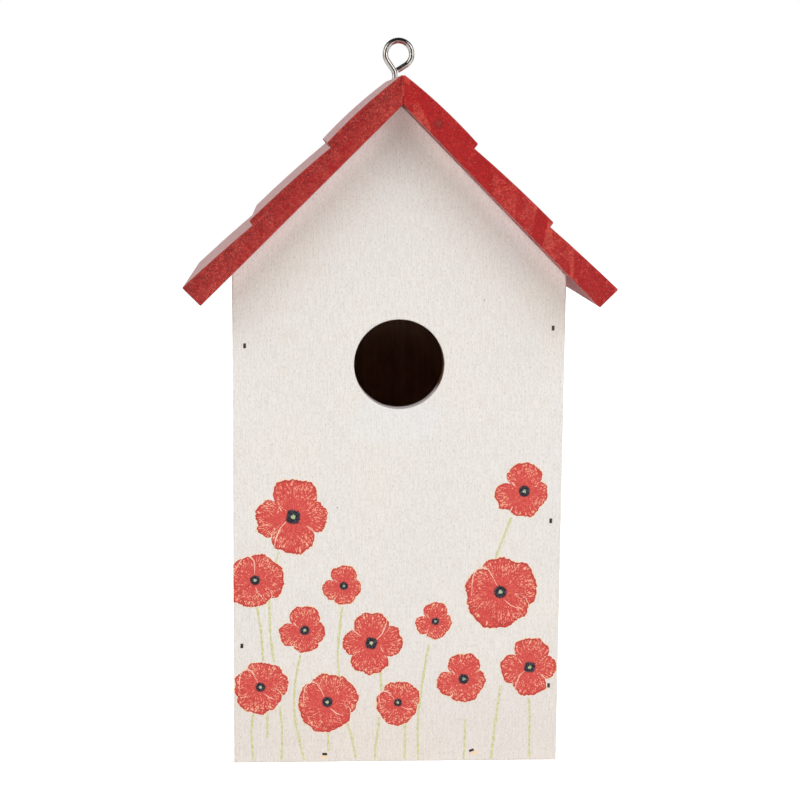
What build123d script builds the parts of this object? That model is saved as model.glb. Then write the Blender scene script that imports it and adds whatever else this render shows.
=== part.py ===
from build123d import *
from math import cos, radians, sin, sqrt, tan
import os

# A hanging nest box for small birds, nailed together from thin boards.
# Two gable walls stand in front of and behind two side walls and a floor. Two roof boards, each planed
# into three overlapping courses, meet in a mitre at the ridge, where a wire screw eye hangs the box.
# A cover plate at the back turns aside on a screw, so that the old nest can be cleaned out.
#
# Frame: millimetres, +Z up, the entrance faces -Y, the origin is on the ground under the middle.

# ---------------------------------------------------------------- driving dimensions
body_width = 125.0
body_depth = 100.0
board = 8.0  # thickness of the walls and the floor
ridge_inside = 251.5  # height of the line where the undersides of the roof boards meet
edge_round = 0.6  # eased edges of the painted walls

entrance_radius = 17.0
entrance_height = 155.1
entrance_round = 0.35

roof_length = 122.0  # along the ridge
roof_run = 104.2  # down the underside, from the inner ridge to the end of the board
ridge_thickness = 7.75  # of a roof board, at the mitre
course_low = 7.5  # thickness of the board where a course comes out from under the one above
course_lips = [29.3, 69.4, roof_run]  # where each course ends, down the underside
lip_thickness = [9.6, 9.5, 9.5]
course_swell = [0.85, 0.4, 0.2]  # how far each course rises over its straight line
step_lean = 0.3  # how far a step's foot lies down the slope from its lip
ridge_round_outer = 0.42
ridge_round_inner = 2.5
roof_edge_round = 0.5
roof_end_bevel = 0.35

eye_wire = 1.15  # radius of the wire
eye_loop_radius = 5.18  # to the middle of the wire
eye_loop_centre = (1.4, 271.6)  # x and z: the loop stands off to one side of the shank
eye_neck_lean = 35.0  # degrees by which the neck leans away from the shank
eye_neck_bend = 3.5
eye_loop_turn = 273.0  # degrees of full circle in the loop
eye_tail = 3.75  # straight end of the wire, back to the neck
eye_end_height = 246.0
eye_thread_core = 0.85
eye_thread_crest = 1.25
eye_thread_pitch = 1.2
eye_thread_length = 12.0
eye_point = 2.4

brad_shank = (1.0, 1.2)
brad_head = (1.1, 1.9)
brad_head_thickness = 0.7
brad_length = 22.0
brad_sink = 0.45  # how deep the heads are set below the wood

door_width = 72.0
door_height = 108.0
door_thickness = 5.0
door_bottom = 8.0
door_corner = 3.0
door_pivot = (0.0, 106.0)  # x and z
door_lock = (30.0, 18.0)
door_gap = 0.2  # between the door and the wall
washer_gap = 0.1  # between the door and the washers
slot_play = 0.3  # round the shank of the lock screw
pivot_play = 0.08
cleaning_hole = (48.0, 72.0)
cleaning_hole_bottom = 22.0
cleaning_hole_corner = 4.0

screw_shank = 1.5
screw_head_radius = 3.1
screw_head_height = 2.0
screw_recess = (3.4, 0.7, 1.0)  # length, width and depth of each slot of the cross
screw_thread_core = 1.1
screw_thread_pitch = 1.2
screw_length = 12.6  # under the head
screw_plain = 6.0  # plain shank under the head
screw_point = 2.2
washer_radius = 3.6
washer_bore = 1.65
washer_thickness = 0.5
pilot_play = 0.02

half_width = body_width / 2
half_depth = body_depth / 2
inner_half_width = half_width - board
inner_half_depth = half_depth - board
through = 4 * board  # longer than any board is thick
diagonal = sqrt(0.5)
door_outside = half_depth + door_gap + door_thickness
washer_outside = door_outside + washer_gap + washer_thickness


# ---------------------------------------------------------------- places on the roof
def slope_point(along, out, side=1):
    """x and z of a point so far down the underside of a roof board and so far out from it."""
    return side * (along + out) * diagonal, ridge_inside + (out - along) * diagonal


def roof_thickness(along):
    """How thick a roof board is so far down its slope."""
    start, low = -ridge_thickness, ridge_thickness
    for lip, high, swell in zip(course_lips, lip_thickness, course_swell):
        if along <= lip:
            share = (along - start) / (lip - start)
            return low + (high - low) * share + 4 * swell * share * (1 - share)
        start, low = lip, course_low
    return low


# ---------------------------------------------------------------- nails
def wall_spot(x, z, y, turn=0):
    """A nail's place on the front wall (y under 0) or the back wall, its head upright before the turn."""
    out = 1 if y > 0 else -1
    return Plane(origin=(x, y, z), x_dir=(-out, 0, 0), z_dir=(0, out, 0)).location * Rot(0, 0, turn)


def side_spot(side, y, z):
    spot = Plane(origin=(side * half_width, y, z), x_dir=(0, side, 0), z_dir=(side, 0, 0))
    return spot.location * Rot(0, 0, 90)


def roof_spot(side, along, y):
    x, z = slope_point(along, roof_thickness(along), side)
    return Plane(origin=(x, y, z), x_dir=(0, 1, 0), z_dir=(side, 0, 1)).location


side_brads_back = [(58.3, 32.0), (58.8, 98.0), (58.1, 166.0)]
floor_brads_y = [-21.0, 23.0]
gable_middle = half_depth - board / 2
roof_brads = [(along, y) for along in (22.0, 61.0) for y in (-gable_middle, gable_middle)]

nail_spots = {
    "front_left_brads": [wall_spot(-57.9, 162.0, -half_depth), wall_spot(-59.3, 46.5, -half_depth)],
    "front_right_brads": [
        wall_spot(57.9, 169.0, -half_depth),
        wall_spot(58.5, 95.0, -half_depth),
        wall_spot(59.0, 30.0, -half_depth),
    ],
    "front_floor_brads": [wall_spot(-27.5, 3.2, -half_depth, 90), wall_spot(29.4, 4.2, -half_depth, 112)],
    "back_left_brads": [wall_spot(-x, z, half_depth) for x, z in side_brads_back],
    "back_right_brads": [wall_spot(x, z, half_depth) for x, z in side_brads_back],
    "back_floor_brads": [wall_spot(x, board / 2, half_depth, 90) for x in (-46.0, 46.0)],
    "left_floor_brads": [side_spot(-1, y, board / 2) for y in floor_brads_y],
    "right_floor_brads": [side_spot(1, y, board / 2) for y in floor_brads_y],
    "left_roof_brads": [roof_spot(-1, along, y) for along, y in roof_brads],
    "right_roof_brads": [roof_spot(1, along, y) for along, y in roof_brads],
}


def brad(sink):
    """A nail along -Z with its head so far below the surface; with no sink, the pocket for one."""
    at_top = (Align.CENTER, Align.CENTER, Align.MAX)
    head_bottom = brad_sink + brad_head_thickness
    head = Pos(0, 0, -sink) * Box(*brad_head, head_bottom - sink, align=at_top)
    shank = Pos(0, 0, -brad_sink) * Box(*brad_shank, brad_length - brad_sink, align=at_top)
    return head + shank


def nails(group):
    return [spot * brad(brad_sink) for spot in nail_spots[group]]


def nailed(wood, *groups):
    """The board with the pockets for these groups of nails cut in it."""
    for group in groups:
        for spot in nail_spots[group]:
            wood = wood - spot * brad(0)
    return wood


# ---------------------------------------------------------------- walls and floor
def gable(out):
    """A plain gable wall, at the front (out is -1) or at the back (out is 1)."""
    eaves = ridge_inside - half_width
    left, right = (-half_width, eaves), (half_width, eaves)
    outline = Polyline((-half_width, 0), (half_width, 0), right, (0, ridge_inside), left, close=True)
    inner_face = Plane.XZ.offset(-out * inner_half_depth)
    return extrude(inner_face * make_face(outline), -out * board)


def ease_outer_edges(wood, end):
    """Rounds the outline of the face that is last along Y, at the end given as 0 or -1."""
    face = wood.faces().filter_by(Axis.Y).sort_by(Axis.Y)[end]
    return fillet(face.outer_wire().edges(), edge_round)


def hole_at(x, z, radius, out):
    """A round hole through the front wall (out is -1) or the back wall (out is 1)."""
    return Pos(x, out * half_depth, z) * Rot(90, 0, 0) * Cylinder(radius, through)


def front_wall():
    wall = gable(-1) - hole_at(0, entrance_height, entrance_radius, -1)
    wall = fillet(wall.edges().filter_by(GeomType.CIRCLE), entrance_round)
    wall = ease_outer_edges(wall, 0)
    wall = nailed(wall, "front_left_brads", "front_right_brads", "front_floor_brads")
    return nailed(wall, "left_roof_brads", "right_roof_brads")


def back_wall():
    wall = ease_outer_edges(gable(1), -1)
    middle = cleaning_hole_bottom + cleaning_hole[1] / 2
    opening = Pos(0, middle) * RectangleRounded(*cleaning_hole, cleaning_hole_corner)
    wall = wall - extrude(Plane.XZ * opening, -body_depth)
    for x, z in (door_pivot, door_lock):
        wall = wall - hole_at(x, z, screw_shank + pilot_play, 1)
    wall = nailed(wall, "back_left_brads", "back_right_brads", "back_floor_brads")
    return nailed(wall, "left_roof_brads", "right_roof_brads")


def side_wall(side):
    """A side wall, its top bevelled to lie against the roof."""
    outer_top, inner_top = ridge_inside - half_width, ridge_inside - inner_half_width
    corners = [(inner_half_width, 0), (half_width, 0), (half_width, outer_top), (inner_half_width, inner_top)]
    section = make_face(Polyline([(side * x, z) for x, z in corners], close=True))
    wall = extrude(Plane.XZ * section, inner_half_depth, both=True)
    hand = "left" if side < 0 else "right"
    return nailed(wall, f"front_{hand}_brads", f"back_{hand}_brads", f"{hand}_floor_brads")


def floor_board():
    floor = Pos(0, 0, board / 2) * Box(2 * inner_half_width, 2 * inner_half_depth, board)
    return nailed(floor, "front_floor_brads", "back_floor_brads", "left_floor_brads", "right_floor_brads")


# ---------------------------------------------------------------- roof
def roof_section():
    """Section of the right-hand board: mitre, three swelling courses with a step under each, end."""
    start = (-ridge_thickness, ridge_thickness)
    lines = [Line(slope_point(0, 0), slope_point(*start))]
    for lip, high, swell in zip(course_lips, lip_thickness, course_swell):
        crown = ((start[0] + lip) / 2, (start[1] + high) / 2 + swell)
        lines.append(ThreePointArc(slope_point(*start), slope_point(*crown), slope_point(lip, high)))
        foot = (lip + step_lean, course_low) if lip < roof_run else (lip, 0)
        lines.append(Line(slope_point(lip, high), slope_point(*foot)))
        start = foot
    lines.append(Line(slope_point(roof_run, 0), slope_point(0, 0)))
    return make_face(Wire(lines))


def long_edge(wood, along, out):
    """The edge along the ridge's direction that runs through this point of the section."""
    x, z = slope_point(along, out)
    return min(wood.edges().filter_by(Axis.Y), key=lambda e: abs(e.center().X - x) + abs(e.center().Z - z))


def roof_board(side):
    wood = extrude(Plane.XZ * roof_section(), roof_length / 2, both=True)
    wood = fillet(long_edge(wood, 0, 0), ridge_round_inner)
    wood = fillet(long_edge(wood, -ridge_thickness, ridge_thickness), ridge_round_outer)
    lips = [long_edge(wood, lip, high) for lip, high in zip(course_lips, lip_thickness)]
    wood = fillet(lips + [long_edge(wood, roof_run, 0)], roof_edge_round)
    for end in (0, -1):
        face = wood.faces().filter_by(Axis.Y).sort_by(Axis.Y)[end]
        off_the_mitre = [edge for edge in face.edges() if abs(edge.center().X) > 0.01]
        wood = chamfer(off_the_mitre, roof_end_bevel)
    if side < 0:
        wood = mirror(wood, Plane.YZ)
    wood = wood - Pos(0, 0, ridge_inside) * Cylinder(eye_thread_crest + pilot_play, through)
    return nailed(wood, "left_roof_brads" if side < 0 else "right_roof_brads")


# ---------------------------------------------------------------- screws
def ringed_thread(core, crest, pitch, length, point):
    """A threaded shank along -Z from z = 0, its thread as separate rings, ending in a point."""
    outline = [(0, 0), (core, 0)]
    for ring in range(int((length - point) / pitch)):
        top = -ring * pitch
        outline += [(core, top - 0.2 * pitch), (crest, top - 0.5 * pitch), (core, top - 0.8 * pitch)]
    outline += [(core, point - length), (0, -length)]
    return revolve(Plane.XZ * make_face(Polyline(outline, close=True)), Axis.Z)


def screw_eye():
    """Wire bent into a loop with its end back against the neck, and a thread with a point below."""
    centre_x, centre_z = eye_loop_centre
    lean = radians(eye_neck_lean)
    touch_x = centre_x - eye_loop_radius * cos(lean)
    touch_z = centre_z - eye_loop_radius * sin(lean)
    corner_z = touch_z + touch_x / tan(lean)  # where the neck's line crosses the shank's
    bend_start = corner_z - eye_neck_bend * tan(lean / 2)
    thread_top = eye_end_height + eye_thread_length
    with BuildLine(Plane.XZ) as path:
        shank = Line((0, thread_top), (0, bend_start))
        bend = JernArc(shank @ 1, shank % 1, eye_neck_bend, eye_neck_lean)
        neck = Line(bend @ 1, (touch_x, touch_z))
        loop = JernArc(neck @ 1, neck % 1, eye_loop_radius, -eye_loop_turn)
        start = loop @ 1
        heading = radians(90 + eye_neck_lean - eye_loop_turn)
        Line(start, (start.X + eye_tail * cos(heading), start.Z + eye_tail * sin(heading)))
    section = Plane(origin=(0, 0, thread_top)) * Circle(eye_wire)
    thread = ringed_thread(eye_thread_core, eye_thread_crest, eye_thread_pitch, eye_thread_length, eye_point)
    return sweep(section, path=path.wire()) + Pos(0, 0, thread_top) * thread


def door_screw(x, z):
    """A round-headed wood screw along Y with a cross recess, its head on the washer."""
    head = Cylinder(screw_head_radius, screw_head_height, align=(Align.CENTER, Align.CENTER, Align.MIN))
    head = fillet(head.edges().sort_by(Axis.Z)[-1], 0.75 * screw_head_height)
    length, width, depth = screw_recess
    for turn in (0, 90):
        head = head - Pos(0, 0, screw_head_height) * Rot(0, 0, turn) * Box(length, width, 2 * depth)
    plain = Cylinder(screw_shank, screw_plain, align=(Align.CENTER, Align.CENTER, Align.MAX))
    thread_length = screw_length - screw_plain
    thread = ringed_thread(screw_thread_core, screw_shank, screw_thread_pitch, thread_length, screw_point)
    screw = head + plain + Pos(0, 0, -screw_plain) * thread
    return Plane(origin=(x, washer_outside, z), x_dir=(1, 0, 0), z_dir=(0, 1, 0)) * screw


def washer(x, z):
    ring = Circle(washer_radius) - Circle(washer_bore)
    return extrude(Plane.XZ.offset(-washer_outside) * Pos(x, z) * ring, washer_thickness)


# ---------------------------------------------------------------- cleaning door
def clean_out_door():
    """The cover plate, with a hole for its pivot and a curved slot that leaves by its right edge."""
    plate = Pos(0, door_bottom + door_height / 2) * RectangleRounded(door_width, door_height, door_corner)
    pivot = Pos(*door_pivot)
    lock = Pos(*door_lock)
    reach = sqrt((door_lock[0] - door_pivot[0]) ** 2 + (door_lock[1] - door_pivot[1]) ** 2)
    slot_half = screw_shank + slot_play
    track = Circle(reach + slot_half) - Circle(reach - slot_half)
    way_out = lock * Pos(door_width / 2, 0) * Rectangle(door_width, door_height / 2)
    slot = (pivot * track) & way_out
    plate = plate - slot - lock * Circle(slot_half) - pivot * Circle(screw_shank + pivot_play)
    door = extrude(Plane.XZ.offset(-door_outside) * plate, door_thickness)
    return ease_outer_edges(door, -1)


# ---------------------------------------------------------------- write
def save(name, *solids):
    shape = solids[0] if len(solids) == 1 else Compound(children=list(solids))
    export_step(shape, f"parts/{name}.step")


os.makedirs("parts", exist_ok=True)
save("front_wall", front_wall())
save("back_wall", back_wall())
save("left_wall", side_wall(-1))
save("right_wall", side_wall(1))
save("floor_board", floor_board())
save("left_roof_board", roof_board(-1))
save("right_roof_board", roof_board(1))
save("screw_eye", screw_eye())
save("clean_out_door", clean_out_door())
save("door_pivot_screw", door_screw(*door_pivot))
save("door_lock_screw", door_screw(*door_lock))
save("pivot_washer", washer(*door_pivot))
save("lock_washer", washer(*door_lock))
for group in nail_spots:
    save(group, *nails(group))
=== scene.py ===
import math
import random

import bmesh
import bpy
from mathutils import Matrix, Vector


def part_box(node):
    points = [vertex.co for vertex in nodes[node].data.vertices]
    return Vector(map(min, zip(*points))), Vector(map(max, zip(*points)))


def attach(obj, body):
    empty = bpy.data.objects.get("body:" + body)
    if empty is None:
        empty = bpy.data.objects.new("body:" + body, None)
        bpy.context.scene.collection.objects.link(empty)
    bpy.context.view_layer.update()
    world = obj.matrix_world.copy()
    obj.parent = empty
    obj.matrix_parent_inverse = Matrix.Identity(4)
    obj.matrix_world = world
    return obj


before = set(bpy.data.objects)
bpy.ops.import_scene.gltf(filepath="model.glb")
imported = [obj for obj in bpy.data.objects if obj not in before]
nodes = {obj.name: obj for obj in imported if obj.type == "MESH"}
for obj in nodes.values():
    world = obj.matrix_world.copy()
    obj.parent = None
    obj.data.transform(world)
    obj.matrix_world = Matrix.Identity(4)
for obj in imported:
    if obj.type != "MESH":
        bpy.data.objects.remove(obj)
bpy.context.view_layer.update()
scene = bpy.context.scene
mm = 0.001               # the dictionaries below are in millimetres

wallLow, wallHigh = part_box("front_wall")
frontY = wallLow.y / mm           # the painted face of the front wall
edgeX = wallHigh.x / mm           # its right-hand edge
peakZ = wallHigh.z / mm           # the undersides of the roof boards meet here
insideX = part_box("right_wall")[0].x / mm
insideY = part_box("back_wall")[0].y / mm
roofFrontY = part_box("right_roof_board")[0].y / mm
print("frame loaded with", len(nodes), "CAD nodes")


def paint(red, green, blue):  # 0 to 255 as on a screen, to the linear colour that shaders take
    return [((c / 255 + 0.055) / 1.055) ** 2.4 for c in (red, green, blue)] + [1.0]


# node helpers shared by every material and tree

def feed(tree, socket, value):
    if isinstance(value, bpy.types.NodeSocket):
        tree.links.new(value, socket)
    else:
        socket.default_value = value


def addNode(tree, kind, inputs=None, **settings):
    made = tree.nodes.new(kind)
    for key, value in settings.items():
        setattr(made, key, value)
    for key, value in (inputs or {}).items():
        feed(tree, made.inputs[key], value)
    return made


def calc(tree, operation, *values):
    return addNode(tree, "ShaderNodeMath", dict(enumerate(values)), operation=operation).outputs[0]


def fade(tree, value, start, end, low=0.0, high=1.0):  # a soft step: low at start, high at end
    return addNode(tree, "ShaderNodeMapRange", {"Value": value, "From Min": start, "From Max": end,
                                                "To Min": low, "To Max": high},
                   interpolation_type="SMOOTHSTEP").outputs["Result"]


def mixColour(tree, factor, first, second, kind="MIX"):
    return addNode(tree, "ShaderNodeMix", {0: factor, 6: first, 7: second}, data_type="RGBA",
                   blend_type=kind).outputs[2]


def noise(tree, where, scale=1.0, detail=2.0, rough=0.5, twist=0.0):
    return addNode(tree, "ShaderNodeTexNoise", {"Vector": where, "Scale": scale, "Detail": detail,
                                                "Roughness": rough, "Distortion": twist}).outputs["Fac"]


def spreadOut(tree, value, gain):  # a noise's narrow range widened about its middle
    return calc(tree, "MULTIPLY_ADD", calc(tree, "SUBTRACT", value, 0.5), gain, 0.5)


def cells(tree, where, scale, output="Distance"):
    return addNode(tree, "ShaderNodeTexVoronoi", {"Vector": where, "Scale": scale}).outputs[output]


def objectPlace(tree, stretch=(1, 1, 1), shift=(0, 0, 0)):  # object coordinates in millimetres, then stretched
    place = addNode(tree, "ShaderNodeTexCoord").outputs["Object"]
    return addNode(tree, "ShaderNodeMapping", {"Vector": place, "Location": shift,
                                               "Scale": [s / mm for s in stretch]}).outputs["Vector"]


def split(tree, vector):
    return addNode(tree, "ShaderNodeSeparateXYZ", {"Vector": vector}).outputs


def join(tree, x, y, z):
    return addNode(tree, "ShaderNodeCombineXYZ", {0: x, 1: y, 2: z}).outputs[0]


def newMaterial(name, **constants):  # constants go on the shader's own sockets
    material = bpy.data.materials.new(name)
    material.use_nodes = True
    tree = material.node_tree
    tree.nodes.clear()
    shader = addNode(tree, "ShaderNodeBsdfPrincipled")
    for key, value in constants.items():
        shader.inputs[key].default_value = value
    addNode(tree, "ShaderNodeOutputMaterial", {"Surface": shader.outputs[0]})
    return material, tree, shader


def tintBy(tree, amount, colour, factors):  # multiplies the colour by these factors, as far as amount says
    return mixColour(tree, amount, colour, mixColour(tree, 1.0, colour, factors, "MULTIPLY"))


def addBump(tree, shader, height, distance, strength):  # distance in millimetres
    bump = addNode(tree, "ShaderNodeBump", {"Height": height, "Distance": distance * mm, "Strength": strength})
    feed(tree, shader.inputs["Normal"], bump.outputs[0])


def edgeMask(tree, radius):  # 1 on outer edges, 0 on flat faces
    soft = addNode(tree, "ShaderNodeBevel", {"Radius": radius * mm}, samples=4).outputs[0]
    flat = addNode(tree, "ShaderNodeNewGeometry").outputs["True Normal"]
    same = addNode(tree, "ShaderNodeVectorMath", {0: soft, 1: flat}, operation="DOT_PRODUCT").outputs["Value"]
    return fade(tree, same, 0.98, 0.75)


def wear(node, material):  # the CAD node's mesh stays as it is, and its slot takes the material
    obj = nodes[node]
    obj.data.materials.clear()
    obj.data.materials.append(material)


# walls: off-white paint over fine straight grain, bare wood on the inside

wallPaint = {
    "grain": (1.5, 1.5, 0.16),         # how finely each pattern is drawn along x, y and z
    "fibre": (3.0, 3.0, 0.75),
    "poreSize": (2.6, 2.6, 1.1),
    "clouds": (0.05, 0.05, 0.02),
    "spacing": 31.0,                   # between the patterns of one board and the next
    "paint": paint(238, 236, 231),
    "thin": paint(225, 218, 210),      # where the grain shows through
    "pore": paint(190, 174, 160),
    "fleck": paint(120, 88, 62),
    "touchUp": (1.0, 1.018, 1.042, 1),  # a cooler, whiter patch under the entrance
    "patchCentre": (-1.2, 133.5),
    "patchSize": (18.0, 9.0),
    "paintedRoofBounce": (1.20, 1.20, 1.23, 1),  # painted light close under the roof, as if bounced off its underside
    "eavesShadeTint": (1.01, 0.992, 0.968, 1),  # painted shade a little further down: a warm tint where the eaves' shadow falls
    "lowTint": (0.968, 0.940, 0.922, 1),   # darker and warmer towards the foot
    "glowReach": (7.5, 1.0),           # where these come in: distances below the roof
    "eavesReach": (32.0, 9.0),
    "lowReach": (48.0, 4.0),           # and heights
    "bore": (155.1, 6.6),              # the entrance's height, and how deep the paint goes in
    "boreReach": (17.6, 17.2),         # just outside its radius
    # painted shade: the entrance rim's paint is greyer than the wall's, as if less lit
    "boreShadedPaint": paint(190, 184, 186),
    "filler": paint(246, 214, 168),
    "fillerSpots": [(-27.6, 2.2, 1.7, 0.9), (30.4, 3.3, 1.8, 1.0)],   # x, z, half width, half height
    # painted shadow: the rim's bare wood is darkened to a deep brown
    "boreWoodInShade": paint(96, 70, 52),
    "wood": paint(224, 184, 156),
    "woodDark": paint(214, 172, 144),
}


def woodColour(tree, light, dark, stretch):
    bands = noise(tree, objectPlace(tree, stretch), 0.35, 4, 0.6, 1.2)
    fine = noise(tree, objectPlace(tree, [s * 3 for s in stretch]), 1.0, 2, 0.5)
    mixed = calc(tree, "ADD", calc(tree, "MULTIPLY", bands, 0.75), calc(tree, "MULTIPLY", fine, 0.25))
    return mixColour(tree, fade(tree, mixed, 0.38, 0.62), light, dark)


def makeWallPaint(name, values, shift):
    material, tree, shader = newMaterial(name, **{"Specular IOR Level": 0.35})
    x, y, z = split(tree, objectPlace(tree))[:3]
    grain = noise(tree, objectPlace(tree, values["grain"], (shift, 0, shift)), 1.0, 3, 0.6)
    fibre = noise(tree, objectPlace(tree, values["fibre"], (shift, shift, 0)), 1.0, 3, 0.7)
    poreMap = noise(tree, objectPlace(tree, values["poreSize"], (0, shift, shift)), 1.0, 1, 0.4)
    broad = noise(tree, objectPlace(tree, values["clouds"], (shift, 0, 0)), 1.0, 2)

    worn = calc(tree, "ADD", calc(tree, "MULTIPLY", grain, 0.35), calc(tree, "MULTIPLY", fibre, 0.65))
    colour = mixColour(tree, fade(tree, worn, 0.42, 0.62), values["paint"], values["thin"])
    pores = fade(tree, poreMap, 0.62, 0.74, 0.0, 0.6)
    colour = mixColour(tree, pores, colour, values["pore"])
    tint = mixColour(tree, broad, paint(255, 253, 249), paint(252, 251, 255))
    colour = mixColour(tree, 1.0, colour, tint, "MULTIPLY")

    dots = calc(tree, "MULTIPLY",
                fade(tree, cells(tree, objectPlace(tree, (1, 1, 1), (7, 0, 3)), 0.055), 0.022, 0.012), 0.55)
    colour = mixColour(tree, dots, colour, values["fleck"])

    onFront = fade(tree, y, frontY + 0.4, frontY + 0.1)
    away = []
    for place, middle, size in zip((x, z), values["patchCentre"], values["patchSize"]):
        share = calc(tree, "DIVIDE", calc(tree, "SUBTRACT", place, middle), size)
        away.append(calc(tree, "POWER", calc(tree, "ABSOLUTE", share), 3.0))
    uneven = noise(tree, objectPlace(tree, (1, 1, 0.5)), 0.35, 3)
    ragged = calc(tree, "ADD", calc(tree, "ADD", *away), calc(tree, "MULTIPLY", uneven, 1.4))
    patch = calc(tree, "MULTIPLY", fade(tree, ragged, 1.85, 1.0), onFront)
    colour = tintBy(tree, patch, colour, values["touchUp"])

    low = calc(tree, "MULTIPLY", fade(tree, z, *values["lowReach"]), onFront)
    colour = tintBy(tree, low, colour, values["lowTint"])
    for spotX, spotZ, halfWide, halfHigh in values["fillerSpots"]:
        sideways = calc(tree, "DIVIDE", calc(tree, "SUBTRACT", x, spotX), halfWide)
        upright = calc(tree, "DIVIDE", calc(tree, "SUBTRACT", z, spotZ), halfHigh)
        reach = calc(tree, "ADD", calc(tree, "MULTIPLY", sideways, sideways),
                     calc(tree, "MULTIPLY", upright, upright))
        reach = calc(tree, "ADD", reach, calc(tree, "MULTIPLY", spreadOut(tree, fibre, 2.0), 0.8))
        smear = calc(tree, "MULTIPLY", fade(tree, reach, 1.5, 0.5, 0.0, 0.85), onFront)
        colour = mixColour(tree, smear, colour, values["filler"])

    roofLine = calc(tree, "SUBTRACT", peakZ, calc(tree, "ABSOLUTE", x))
    belowRoof = calc(tree, "MULTIPLY", calc(tree, "SUBTRACT", roofLine, z), math.sqrt(0.5))
    # painted shade: a warm, slightly darker tint under the eaves, where their shadow falls
    eavesShade = calc(tree, "MULTIPLY", fade(tree, belowRoof, *values["eavesReach"]), onFront)
    colour = tintBy(tree, eavesShade, colour, values["eavesShadeTint"])
    # painted light: paint brightened close under the roof, as if lit by light bounced off its underside
    glow = calc(tree, "MULTIPLY", fade(tree, belowRoof, *values["glowReach"]), onFront)
    colour = tintBy(tree, glow, colour, values["paintedRoofBounce"])

    edges = calc(tree, "MULTIPLY", edgeMask(tree, 0.5), fade(tree, belowRoof, 2.0, 6.0, 0.0, 0.3))
    colour = mixColour(tree, edges, colour, values["thin"])

    inX = fade(tree, calc(tree, "ABSOLUTE", x), insideX + 0.12, insideX + 0.05)
    inY = fade(tree, calc(tree, "ABSOLUTE", y), insideY + 0.12, insideY + 0.05)
    inside = calc(tree, "MULTIPLY", inX, inY)
    if name.endswith("front_wall"):   # the entrance's rim: thin grey paint low down, dark cut wood elsewhere, both darkened as painted shade
        boreZ, boreDepth = values["bore"]
        bore = calc(tree, "MULTIPLY", fade(tree, calc(tree, "ABSOLUTE", x), *values["boreReach"]),
                    fade(tree, calc(tree, "ABSOLUTE", calc(tree, "SUBTRACT", z, boreZ)), *values["boreReach"]))
        bore = calc(tree, "MULTIPLY", bore, fade(tree, y, frontY + 0.25, frontY + 0.45))
        ragY = calc(tree, "MULTIPLY_ADD", fibre, 0.8, y)
        cutWoodInShade = calc(tree, "MAXIMUM", fade(tree, ragY, frontY + boreDepth - 0.3, frontY + boreDepth),
                       fade(tree, z, boreZ - 10.5, boreZ - 7.0))
        rim = mixColour(tree, cutWoodInShade, values["boreShadedPaint"], values["boreWoodInShade"])
        colour = mixColour(tree, bore, colour, rim)
    bare = woodColour(tree, values["wood"], values["woodDark"], (1, 1, 0.06))
    colour = mixColour(tree, inside, colour, bare)

    feed(tree, shader.inputs["Base Color"], colour)
    feed(tree, shader.inputs["Roughness"], fade(tree, fibre, 0.3, 0.7, 0.5, 0.66))
    height = calc(tree, "SUBTRACT", worn, calc(tree, "MULTIPLY", pores, 0.6))
    addBump(tree, shader, height, 0.12, 0.6)
    return material


for index, name in enumerate(["front_wall", "back_wall", "left_wall", "right_wall", "clean_out_door"]):
    wear(name, makeWallPaint("offWhitePaint_" + name, wallPaint, index * wallPaint["spacing"]))


floorWood = {"light": paint(196, 160, 118), "dark": paint(160, 120, 80)}
material, tree, shader = newMaterial("bareSoftwood")
feed(tree, shader.inputs["Base Color"], woodColour(tree, floorWood["light"], floorWood["dark"], (1, 0.06, 1)))
sawn = noise(tree, objectPlace(tree, (3, 0.3, 3)), 1.0, 3)
feed(tree, shader.inputs["Roughness"], fade(tree, sawn, 0.3, 0.7, 0.6, 0.8))
addBump(tree, shader, sawn, 0.1, 0.6)
wear("floor_board", material)
print("walls and floor painted")


# roof: red stain, end grain on the front faces, long grain along the ridge

roofStain = {
    "deep": paint(164, 4, 8),
    "faded": paint(190, 66, 54),
    "dark": paint(96, 8, 12),
    "pale": paint(232, 180, 150),
    "knot": paint(134, 52, 42),
    # outer edges: worn, lighter paint, and a painted highlight where the eased edges catch the light
    "edge": paint(204, 92, 80),
    # upward faces: dust, and a greyer red as painted sheen for their pale reflection at a low angle
    "dustAndSheen": paint(158, 58, 48),
    "lap": paint(196, 62, 50),
    "knotAt": (13.95, 4.3),      # along the slope and out of it
    "lapTo": (2.9, 2.3),         # how far the left board's stain laps over the ridge
    # the two boards: where their patterns start, base stain and where it and the faded stain come in, how
    # strong the facets and the ring lines are, and how dark the grain goes
    "right": {"start": 0.0, "base": paint(170, 24, 22), "baseFrom": (0.20, 0.56), "fadedFrom": (0.50, 0.84),
              "facets": 0.56, "ringLines": 0.5, "grainLow": 0.72},
    "left": {"start": 400.0, "base": paint(168, 42, 35), "baseFrom": (0.22, 0.52), "fadedFrom": (0.50, 0.86),
             "facets": 0.12, "ringLines": 0.7, "grainLow": 0.62},
}


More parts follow.
